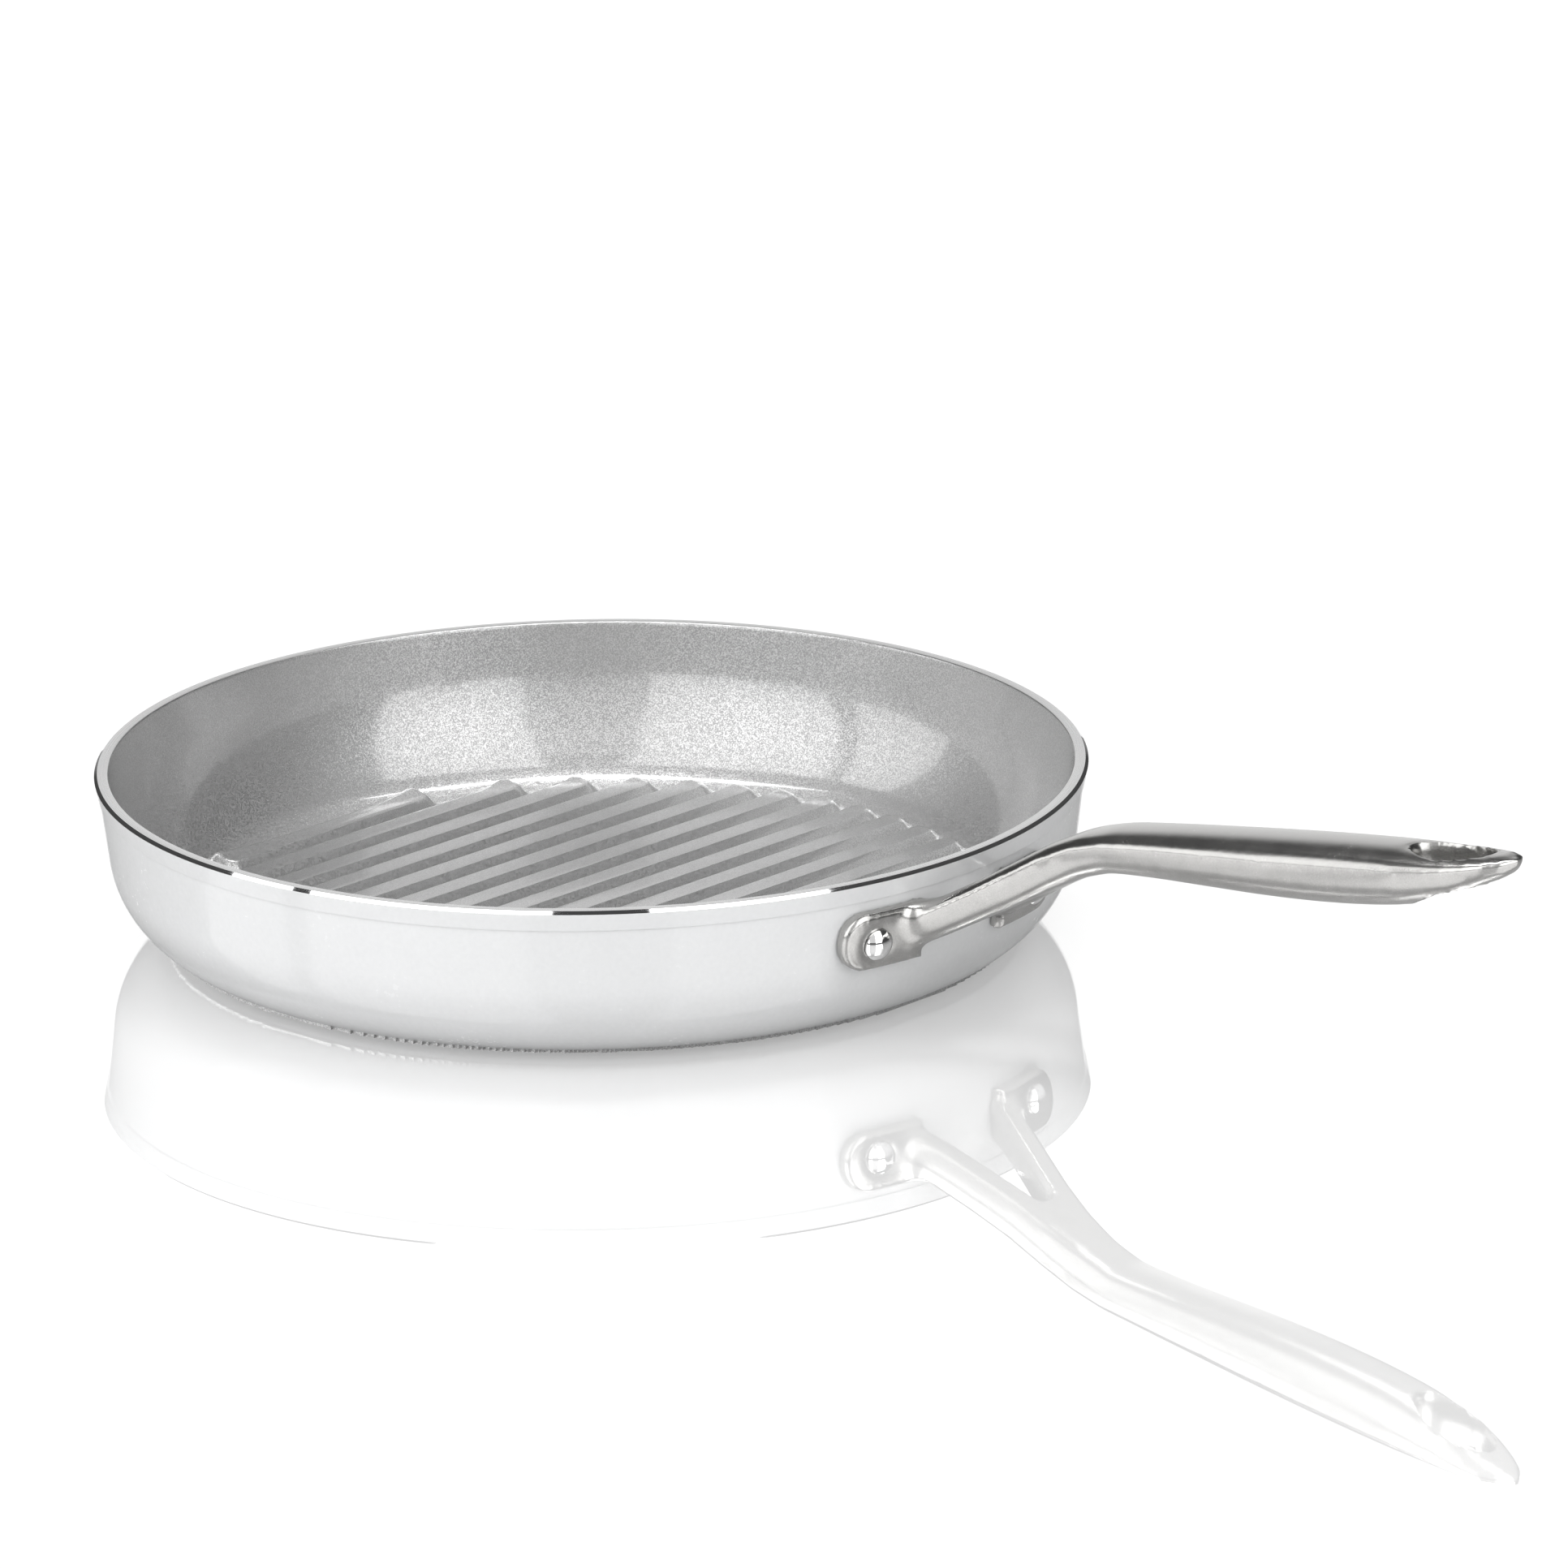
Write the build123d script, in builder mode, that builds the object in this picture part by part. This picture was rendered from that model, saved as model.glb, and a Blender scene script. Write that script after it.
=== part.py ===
"""Round grill pan with a riveted cast handle.

Millimetres, +Z up. The origin is the centre of the base's underside, on the pan's axis.
+X runs along the handle, and the ribs run along Y, square to the handle.
"""

from build123d import *
import os
from math import asin, cos, degrees, radians, sin, sqrt, tan

# Pan body: one pressed aluminium shell with its ribs
rim_radius = 140.0
pan_height = 48.5
rim_chamfer = 0.85
rim_land = 3.1
rim_inner_chamfer = 0.5
collar_height = 4.9
collar_lean = 1.0
collar_step = 0.35
wall_taper = 7.0
outer_corner = 28.0
inner_corner = 24.0
floor_thickness = 3.4
corner_steps = 5

# Ribs of the cooking floor
rib_pitch = 13.375
rib_top_width = 9.0
rib_height = 3.5
rib_draft = 12.0
rib_climb = 5.7
rib_end_chamfer = 2.6
rib_top_chamfer = 1.5
rib_root = 0.8

# Steel disc pressed into the base
plate_margin = 16.6
plate_thickness = 0.6
plate_fit = 0.05

# Handle: one casting, from the two pads to the tip
handle_length = 202.6
handle_root_inset = 3.6
tip_height = 88.0
grip_half_width = 12.9
gap_apex = 40.4
gap_half_width = 14.5
gap_apex_half_width = 1.6
gap_edge_chamfer = 2.0
gap_steps = 5
arm_flare = 5.0
flare_reach = 6.4
slot_length = 26.2
slot_width = 15.5
slot_from_tip = 22.9
slot_end_radius = 5.2
slot_rim_depth = 0.4
slot_rim_flare = 50.0

# Pads that lie on the wall
pad_thickness = 4.5
pad_length = 28.0
pad_height = 17.5
pad_inner_reach = 16.6
pad_rim_gap = 7.9
pad_end_flat = 0.6
pad_corner = 2.6
pad_edge_chamfer = 1.2
pad_sink = 2.0

# Rivets
rivet_radius = 3.0
rivet_fit = 0.1
rivet_angle = 13.3
rivet_drop = 17.4
dome_radius = 4.4
dome_seat = 0.3
dome_height = 2.2
dome_steps = 3
inner_head_radius = 5.6
inner_head_height = 1.6
inner_head_chamfer = 0.9
head_root = 1.0

# One overrun serves every cut
overrun = 5.0
quarter_turn = 90.0

# Sizes that follow from the ones above
rim_base = pan_height - rim_chamfer
crease_height = rim_base - collar_height
crease_radius = rim_radius - collar_lean
wall_top_radius = crease_radius - collar_step
base_edge_radius = wall_top_radius - crease_height * tan(radians(wall_taper))
rim_inner_radius = rim_radius - rim_chamfer - rim_land
floor_edge_radius = rim_inner_radius - (pan_height - floor_thickness) * tan(radians(wall_taper))
corner_turn = quarter_turn - wall_taper
flat_base_radius = base_edge_radius - outer_corner * tan(radians(corner_turn) / 2)
flat_floor_radius = floor_edge_radius - inner_corner * tan(radians(corner_turn) / 2)
rib_field_radius = flat_floor_radius + rib_climb
rib_pairs = int((rib_field_radius - rib_end_chamfer) / rib_pitch)
plate_radius = flat_base_radius - plate_margin


def wall_radius(height):
    """Outer radius of the straight wall at a height above the base."""
    return base_edge_radius + height * tan(radians(wall_taper))


def stepped_arc(centre, radius, start, end, steps=corner_steps):
    """Round stretch in short straight steps, its angles measured from straight down towards +X."""
    turns = [radians(start + (end - start) * step / steps) for step in range(steps + 1)]
    return Polyline(*[(centre[0] + radius * sin(turn), centre[1] - radius * cos(turn)) for turn in turns])


# Outside of the pan as a solid of revolution, which also trims the handle
with BuildPart() as envelope:
    with BuildSketch(Plane.XZ):
        with BuildLine():
            outer_round = stepped_arc((flat_base_radius, outer_corner), outer_corner, 0, corner_turn)
            Polyline(
                outer_round @ 1,
                (wall_top_radius, crease_height),
                (crease_radius, crease_height),
                (rim_radius, rim_base),
                (rim_radius - rim_chamfer, pan_height),
                (0, pan_height),
                (0, 0),
                outer_round @ 0,
            )
        make_face()
    revolve(axis=Axis.Z)

# Hollow of the pan
inner_round_height = floor_thickness + inner_corner
hollow_chamfer_start = pan_height - rim_inner_chamfer
with BuildPart() as hollow:
    with BuildSketch(Plane.XZ):
        with BuildLine():
            centre = (flat_floor_radius, inner_round_height)
            inner_round = stepped_arc(centre, inner_corner, 0, corner_turn)
            Polyline(
                inner_round @ 1,
                (rim_inner_radius - rim_inner_chamfer * tan(radians(wall_taper)), hollow_chamfer_start),
                (rim_inner_radius + rim_inner_chamfer, pan_height),
                (0, pan_height),
                (0, floor_thickness),
                inner_round @ 0,
            )
        make_face()
    revolve(axis=Axis.Z)

# Rivet axes: square to the wall, one each side of the handle
rivet_height = pan_height - rivet_drop


def rivet_plane(side):
    """Plane on the outer wall at a rivet, its normal pointing away from the pan."""
    turn = Location((0, 0, 0), (0, 0, side * rivet_angle))
    lean = Location((wall_radius(rivet_height), 0, rivet_height), (0, quarter_turn + wall_taper, 0))
    return Plane(turn * lean)


rivet_planes = [rivet_plane(-1), rivet_plane(1)]
drill_planes = [plane.offset(pad_thickness + overrun) for plane in rivet_planes]
wall_thickness = (wall_radius(pan_height) - rim_inner_radius) * cos(radians(wall_taper))
drill_depth = pad_thickness + wall_thickness + 2 * overrun

# Ribs: one drafted profile run across the floor, then cut to bars with rounded corners
rib_base_width = rib_top_width + 2 * (rib_height + rib_root) * tan(radians(rib_draft))
rib_offsets = [rib * rib_pitch for rib in range(-rib_pairs, rib_pairs + 1)]
with BuildPart() as ribs:
    with BuildSketch(Plane.XZ) as rib_profile:
        for offset in rib_offsets:
            with Locations((offset, floor_thickness - rib_root)):
                Trapezoid(
                    rib_base_width,
                    rib_height + rib_root,
                    quarter_turn - rib_draft,
                    align=(Align.CENTER, Align.MIN),
                )
        chamfer(rib_profile.vertices().group_by(Axis.Y)[-1], rib_top_chamfer)
    extrude(amount=rib_field_radius, both=True)
    with BuildSketch(Plane.XY) as rib_plan:
        for offset in rib_offsets:
            with Locations((offset, 0)):
                Rectangle(rib_base_width, 2 * sqrt(rib_field_radius**2 - offset**2))
        chamfer(rib_plan.vertices(), rib_end_chamfer)
    extrude(amount=pan_height, mode=Mode.INTERSECT)

# Pan body before drilling, then with its rivet holes
with BuildPart() as pan_blank:
    add(envelope.part)
    add(hollow.part, mode=Mode.SUBTRACT)
    add(ribs.part)
    with BuildSketch(Plane.XY):
        Circle(plate_radius + plate_fit)
    extrude(amount=plate_thickness, mode=Mode.SUBTRACT)
with BuildPart() as pan_body:
    add(pan_blank.part)
    with Locations(*[plane.location for plane in drill_planes]):
        Hole(rivet_radius + rivet_fit, depth=drill_depth)
pan_body.part.label = "pan_body"

# Base disc, flush with the underside
with BuildPart() as induction_plate:
    with BuildSketch(Plane.XY):
        Circle(plate_radius)
    extrude(amount=plate_thickness)
induction_plate.part.label = "induction_plate"

# Handle guides, as shares chosen by hand, one row for each place along the handle
# along: of handle_length from the root
# half width: of grip_half_width
# top and underside: of the rise from the root to the tip
# shoulder: of the half width, how far the top edge is rounded in
# belly: of the half width, how far the underside is rounded in
guide_shares = (
    (0.000, 2.050, 0.128, -0.116, 0.30, 0.24),
    (0.042, 1.770, 0.167, -0.053, 0.36, 0.25),
    (0.098, 1.457, 0.274, 0.054, 0.48, 0.28),
    (0.167, 1.090, 0.427, 0.191, 0.66, 0.38),
    (0.236, 0.919, 0.573, 0.332, 0.80, 0.52),
    (0.300, 0.885, 0.654, 0.429, 0.87, 0.66),
    (0.370, 0.875, 0.704, 0.460, 0.91, 0.78),
    (0.480, 0.915, 0.770, 0.490, 0.92, 0.86),
    (0.615, 0.985, 0.845, 0.531, 0.92, 0.90),
    (0.745, 1.000, 0.911, 0.594, 0.92, 0.90),
    (0.850, 0.970, 0.956, 0.675, 0.92, 0.90),
    (0.920, 0.845, 0.983, 0.768, 0.90, 0.88),
    (0.965, 0.630, 0.996, 0.866, 0.88, 0.86),
    (0.988, 0.365, 0.998, 0.914, 0.86, 0.84),
    (1.000, 0.070, 0.997, 0.960, 0.86, 0.84),
)
shoulder_drop_share = 0.31
top_flare_share = 0.3
handle_root = wall_radius(rivet_height) - handle_root_inset
flare_end = wall_radius(rivet_height) + flare_reach
rise = tip_height - rivet_height


def guide_slope(row, column):
    """Slope of one guide at a row, from the rows beside it."""
    before = guide_shares[max(row - 1, 0)]
    here = guide_shares[row]
    after = guide_shares[min(row + 1, len(guide_shares) - 1)]
    slopes = []
    for start, end in ((before, here), (here, after)):
        if end is not start:
            slopes.append((end[column] - start[column]) / (end[0] - start[0]))
    return sum(slopes) / len(slopes)


def guides_at(along):
    """Every guide's share at one place along the handle, on a smooth curve through the rows."""
    row = max(index for index in range(len(guide_shares) - 1) if guide_shares[index][0] <= along)
    start, end = guide_shares[row], guide_shares[row + 1]
    span = end[0] - start[0]
    part = (along - start[0]) / span
    ease = part**2 * (3 - 2 * part)
    shares = []
    for column in range(1, len(start)):
        leave = guide_slope(row, column) * span * part * (1 - part) ** 2
        arrive = guide_slope(row + 1, column) * span * part**2 * (1 - part)
        shares.append(start[column] + ease * (end[column] - start[column]) + leave - arrive)
    return shares


def heights_at(along):
    """Top and underside of the handle at a share of its length, the flare left out."""
    top_share, underside_share = guides_at(along)[1:3]
    return rivet_height + top_share * rise, rivet_height + underside_share * rise


def handle_section(along):
    """Closed cross-section of the handle, square to X, at a share of its length."""
    half_share, top_share, underside_share, shoulder, belly = guides_at(along)
    place = handle_root + along * handle_length
    flare_depth = min(max(flare_end - place, 0), arm_flare)
    flare = arm_flare - sqrt(arm_flare**2 - flare_depth**2)
    half_width = half_share * grip_half_width + flare
    top = rivet_height + top_share * rise + top_flare_share * flare
    underside = rivet_height + underside_share * rise
    shoulder_level = top - shoulder_drop_share * (top - underside)
    shoulder_in = shoulder * half_width
    belly_in = belly * half_width
    with BuildSketch(Plane.YZ.offset(place)) as section:
        with BuildLine():
            right_shoulder = EllipticalCenterArc(
                (half_width - shoulder_in, shoulder_level),
                shoulder_in,
                top - shoulder_level,
                start_angle=0,
                arc_size=quarter_turn,
            )
            left_shoulder = EllipticalCenterArc(
                (shoulder_in - half_width, shoulder_level),
                shoulder_in,
                top - shoulder_level,
                start_angle=quarter_turn,
                arc_size=quarter_turn,
            )
            Line(right_shoulder @ 1, left_shoulder @ 0)
            left_belly = EllipticalCenterArc(
                (belly_in - half_width, shoulder_level),
                belly_in,
                shoulder_level - underside,
                start_angle=2 * quarter_turn,
                arc_size=quarter_turn,
            )
            right_belly = EllipticalCenterArc(
                (half_width - belly_in, shoulder_level),
                belly_in,
                shoulder_level - underside,
                start_angle=3 * quarter_turn,
                arc_size=quarter_turn,
            )
            Line(left_belly @ 1, right_belly @ 0)
        make_face()
    return section.sketch


# Sections stand close together where the arms flare into the pads, and closer and closer at the tip
root_share = 0.06
root_count = 4
even_count = 16
nose_share = 0.12
nose_count = 6
section_places = [root_share * step / root_count for step in range(root_count)]
for step in range(even_count):
    section_places.append(root_share + (1 - root_share - nose_share) * step / even_count)
for step in range(nose_count):
    section_places.append(1 - nose_share * (1 - sin(radians(quarter_turn * step / nose_count))))
section_places.append(1.0)


def gap_section(place, half_width, along):
    """Cross-section of the gap in the fork, flared at top and bottom to break the arms' edges."""
    top, underside = heights_at(along)
    flared = half_width + gap_edge_chamfer + overrun
    with BuildSketch(Plane.YZ.offset(place)) as section:
        with BuildLine():
            side = Polyline(
                (flared, top + overrun),
                (half_width, top - gap_edge_chamfer),
                (half_width, underside + gap_edge_chamfer),
                (flared, underside - overrun),
            )
            mirror(side, about=Plane.YZ)
            Line(side @ 0, (-flared, top + overrun))
            Line(side @ 1, (-flared, underside - overrun))
        make_face()
    return section.sketch


# Pad on one side: a band of the wall's own shape, cut to the pad's outline, then mirrored
pad_top = pan_height - pad_rim_gap
pad_plane = rivet_plane(1)
with BuildPart() as pads:
    with BuildSketch(Plane.XZ):
        with BuildLine():
            Polyline(
                (wall_radius(0) - pad_sink, 0),
                (wall_radius(0) + pad_thickness, 0),
                (wall_radius(pan_height) + pad_thickness, pan_height),
                (wall_radius(pan_height) - pad_sink, pan_height),
                close=True,
            )
        make_face()
    revolve(axis=Axis.Z)
    with BuildSketch(pad_plane) as pad_outline:
        with Locations((rivet_height - pad_top + pad_height / 2, pad_length / 2 - pad_inner_reach)):
            Rectangle(pad_height, pad_length)
        corners = pad_outline.vertices().sort_by(Axis.Y)
        fillet(corners[2:], pad_height / 2 - pad_end_flat)
        fillet(corners[:2], pad_corner)
    extrude(amount=pad_thickness + 2 * overrun, both=True, mode=Mode.INTERSECT)
    outer_face = pads.faces().sort_by(Axis(pad_plane.origin, pad_plane.z_dir))[-1]
    chamfer(outer_face.edges(), pad_edge_chamfer)
    mirror(about=Plane.XZ)

# Gap of the fork: narrowing from the pads to its apex
gap_end = gap_apex * (1 - gap_apex_half_width / gap_half_width)
gap_sections = [gap_section(handle_root - overrun, gap_half_width * (gap_apex + overrun) / gap_apex, 0)]
for step in range(gap_steps + 1):
    reach = gap_end * step / gap_steps
    half_width = gap_half_width * (1 - reach / gap_apex)
    gap_sections.append(gap_section(handle_root + reach, half_width, reach / handle_length))

# Hang slot: an oval of four arcs, square to the handle's top
slot_share = 1 - slot_from_tip / handle_length
slot_half_share = slot_length / handle_length / 2
slot_rise = heights_at(slot_share + slot_half_share)[0] - heights_at(slot_share - slot_half_share)[0]
slot_plane = Plane(
    origin=(handle_root + slot_share * handle_length, 0, heights_at(slot_share)[0]),
    x_dir=(slot_length, 0, slot_rise),
    z_dir=(-slot_rise, 0, slot_length),
)
slot_end_reach = slot_length / 2 - slot_end_radius
slot_side_span = slot_end_reach**2 + slot_width**2 / 4 - slot_end_radius**2
slot_side_radius = slot_side_span / (slot_width - 2 * slot_end_radius)


def slot_outline(plane):
    """The slot's oval on a plane: two wide arcs that cross, their corners rounded."""
    with BuildSketch(plane) as oval:
        with Locations((0, slot_width / 2 - slot_side_radius)):
            Circle(slot_side_radius)
        with Locations((0, slot_side_radius - slot_width / 2)):
            Circle(slot_side_radius, mode=Mode.INTERSECT)
        fillet(oval.vertices(), slot_end_radius)
    return oval.sketch


# Handle: the cast grip, forked by the gap, with its pads, hang slot and rivet holes
with BuildPart() as gap:
    loft(sections=gap_sections, ruled=True)
with BuildPart() as handle:
    loft(sections=[handle_section(share) for share in section_places], ruled=True)
    add(gap.part, mode=Mode.SUBTRACT)
    extrude(slot_outline(slot_plane), amount=tip_height, both=True, mode=Mode.SUBTRACT)
    rim = slot_outline(slot_plane.offset(-slot_rim_depth))
    extrude(rim, amount=slot_rim_depth + overrun, taper=-slot_rim_flare, mode=Mode.SUBTRACT)
    add(pads.part)
    add(envelope.part, mode=Mode.SUBTRACT)
    with Locations(*[plane.location for plane in drill_planes]):
        Hole(rivet_radius + rivet_fit, depth=drill_depth)
handle.part.label = "handle"

# Rivet heads on their own axis: dome outside, flat head inside
dome_start = pad_thickness + dome_seat
dome_arc_radius = (dome_radius**2 + dome_height**2) / (2 * dome_height)
dome_turn = 2 * quarter_turn - degrees(asin(dome_radius / dome_arc_radius))
dome_centre = dome_start + dome_height - dome_arc_radius
inner_head_end = -wall_thickness - inner_head_height
with BuildPart() as heads:
    with BuildSketch(Plane.XZ):
        with BuildLine():
            centre = (0, dome_centre)
            dome = stepped_arc(centre, dome_arc_radius, dome_turn, 2 * quarter_turn, dome_steps)
            Polyline(
                dome @ 0,
                (dome_radius, pad_thickness - head_root),
                (0, pad_thickness - head_root),
                dome @ 1,
            )
        make_face()
        with BuildLine():
            Polyline(
                (0, inner_head_end),
                (inner_head_radius - inner_head_chamfer, inner_head_end),
                (inner_head_radius, inner_head_end + inner_head_chamfer),
                (inner_head_radius, head_root - wall_thickness),
                (0, head_root - wall_thickness),
                close=True,
            )
        make_face()
    revolve(axis=Axis.Z)


def seated_rivet(plane, name):
    """The heads cut to lie on the pad and the wall, joined by the shank."""
    with BuildPart() as seated:
        add(plane.location * heads.part)
        add(pan_blank.part, mode=Mode.SUBTRACT)
        add(pads.part, mode=Mode.SUBTRACT)
        with BuildSketch(plane.offset(inner_head_end + inner_head_chamfer)):
            Circle(rivet_radius)
        extrude(amount=dome_start - inner_head_end - inner_head_chamfer)
    seated.part.label = name
    return seated


rivet_right = seated_rivet(rivet_planes[0], "rivet_right")
rivet_left = seated_rivet(rivet_planes[1], "rivet_left")

os.makedirs("parts", exist_ok=True)
for piece in (pan_body, induction_plate, handle, rivet_left, rivet_right):
    export_step(piece.part, f"parts/{piece.part.label}.step")
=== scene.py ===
"""Round grill pan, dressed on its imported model: enamel, ceramic, machined rim, cast handle.

Meshes are built in millimetres and turned to metres as each piece is finished.
The frame is the model's own: +Z up, +X along the handle, the base on the floor at zero.
"""

import logging
import math
from dataclasses import dataclass
from enum import Enum

import bmesh
import bpy
from mathutils import Matrix, Vector


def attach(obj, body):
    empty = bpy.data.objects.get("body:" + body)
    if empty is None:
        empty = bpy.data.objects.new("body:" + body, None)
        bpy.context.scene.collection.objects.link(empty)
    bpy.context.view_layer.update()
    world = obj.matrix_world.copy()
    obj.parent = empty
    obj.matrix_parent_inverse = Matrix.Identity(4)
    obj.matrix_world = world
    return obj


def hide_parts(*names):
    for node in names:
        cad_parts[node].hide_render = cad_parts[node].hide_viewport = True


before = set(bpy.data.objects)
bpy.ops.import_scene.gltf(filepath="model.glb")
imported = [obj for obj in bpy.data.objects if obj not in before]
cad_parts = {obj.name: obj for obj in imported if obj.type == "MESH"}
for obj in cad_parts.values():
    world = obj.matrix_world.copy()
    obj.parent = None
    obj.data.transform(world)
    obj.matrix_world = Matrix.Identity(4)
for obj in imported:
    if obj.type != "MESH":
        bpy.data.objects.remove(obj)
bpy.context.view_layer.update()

log = logging.getLogger("grill_pan")

MM = 0.001
QUARTER_TURN = 90
FULL_TURN = 2 * math.pi
SMOOTH_ANGLE = math.radians(35)
BODY = "root"

# Inputs of a Mix node that take its two colours
COLOUR_SOCKETS = (6, 7)
# Noise values between which a grain's tone runs
NOISE_RANGE = (0.3, 0.7)
# Corners of the studio's banks, each an angle to the right of the camera and a rise, in degrees
LEFT_BANK = ((-14, 4), (-60, 4), (-88, 51), (-16, 73))
RIGHT_BANK = ((18, 4), (52, 4), (80, 53), (24, 73))
TOP_BANK = ((125, 58), (235, 58), (205, 84), (155, 84))
LEFT_CARD = ((-66, 2), (-100, 2), (-106, 46), (-92, 49))
FRONT_CARD = ((-13, 6), (17, 6), (20, 60), (-14, 60))
BACKDROP = ((165, -1), (195, -1), (195, 36), (165, 36))


class Zone(Enum):
    """Finish zones of the turned shell, in the order of its material slots."""

    ENAMEL = 0
    CHAMFER = 1
    LAND = 2
    CERAMIC = 3


class Outline:
    """Open chain of vertices in the XZ plane, grown from its last vertex."""

    def __init__(self, radius: float, height: float) -> None:
        """Starts the chain.

        Args:
            radius: Distance of the first vertex from the axis, in millimetres.
            height: Height of the first vertex, in millimetres.
        """
        self.mesh = bmesh.new()
        self.last = self.mesh.verts.new((radius, 0, height))

    def line(self, radius: float, height: float) -> "Outline":
        """Extrudes the last vertex to a point.

        Args:
            radius: Distance of the new vertex from the axis.
            height: Height of the new vertex.

        Returns:
            The outline, so that calls can follow each other.
        """
        grown = bmesh.ops.extrude_vert_indiv(self.mesh, verts=[self.last])
        self.last = grown["verts"][0]
        self.last.co = (radius, 0, height)
        return self

    def stepped(self, radius: float, height: float, steps: int) -> "Outline":
        """Extrudes the last vertex to a point in equal steps, which keep the shading of a flat wall even.

        Args:
            radius: Distance of the end from the axis.
            height: Height of the end.
            steps: Number of edges.

        Returns:
            The outline.
        """
        start = self.last.co.copy()
        for step in range(1, steps + 1):
            share = step / steps
            self.line(start.x + (radius - start.x) * share, start.z + (height - start.z) * share)
        return self

    def arc(self, centre: tuple[float, float], turn: float, steps: int) -> "Outline":
        """Sweeps the last vertex round a centre.

        Args:
            centre: Radius and height of the centre.
            turn: Angle in degrees, positive from +Z towards +X.
            steps: Number of edges in the arc.

        Returns:
            The outline, so that calls can follow each other.
        """
        swept = bmesh.ops.spin(
            self.mesh,
            geom=[self.last],
            cent=(centre[0], 0, centre[1]),
            axis=(0, 1, 0),
            angle=math.radians(turn),
            steps=steps,
        )
        self.last = [part for part in swept["geom_last"] if isinstance(part, bmesh.types.BMVert)][0]
        return self

    def turned(self, steps: int) -> bmesh.types.BMesh:
        """Spins the chain about Z into a closed surface.

        Args:
            steps: Number of divisions round the axis.

        Returns:
            The turned mesh, its seam and poles merged and its faces pointing out.
        """
        geometry = self.mesh.verts[:] + self.mesh.edges[:]
        bmesh.ops.spin(self.mesh, geom=geometry, axis=(0, 0, 1), angle=FULL_TURN, steps=steps, use_merge=True)
        bmesh.ops.remove_doubles(self.mesh, verts=self.mesh.verts, dist=MM)
        bmesh.ops.recalc_face_normals(self.mesh, faces=self.mesh.faces)
        return self.mesh


def new_object(mesh: bmesh.types.BMesh, name: str, materials: list[bpy.types.Material]) -> bpy.types.Object:
    """Makes an object of a mesh and links it into the scene.

    Args:
        mesh: The mesh in metres, which is freed.
        name: Name of the object.
        materials: Materials for its slots, in order.

    Returns:
        The object, at the origin.
    """
    data = bpy.data.meshes.new(name)
    mesh.to_mesh(data)
    mesh.free()
    for material in materials:
        data.materials.append(material)
    made = bpy.data.objects.new(name, data)
    bpy.context.scene.collection.objects.link(made)
    return made


def finish_piece(
    mesh: bmesh.types.BMesh, name: str, node: str, materials: list[bpy.types.Material]
) -> bpy.types.Object:
    """Makes a piece of a finished mesh, smooths it and sets it in the place of a CAD node.

    Args:
        mesh: The mesh in millimetres, which is freed.
        name: Name of the piece.
        node: Name of the CAD node that it stands for, which is hidden.
        materials: Materials for its slots, in order.

    Returns:
        The piece, at the origin and in metres.
    """
    bmesh.ops.scale(mesh, vec=(MM, MM, MM), verts=mesh.verts)
    piece = new_object(mesh, name, materials)
    piece.data.shade_smooth()
    piece.data.set_sharp_from_angle(angle=SMOOTH_ANGLE)
    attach(piece, BODY)
    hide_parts(node)
    log.info("%s: %d faces", name, len(piece.data.polygons))
    return piece


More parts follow.
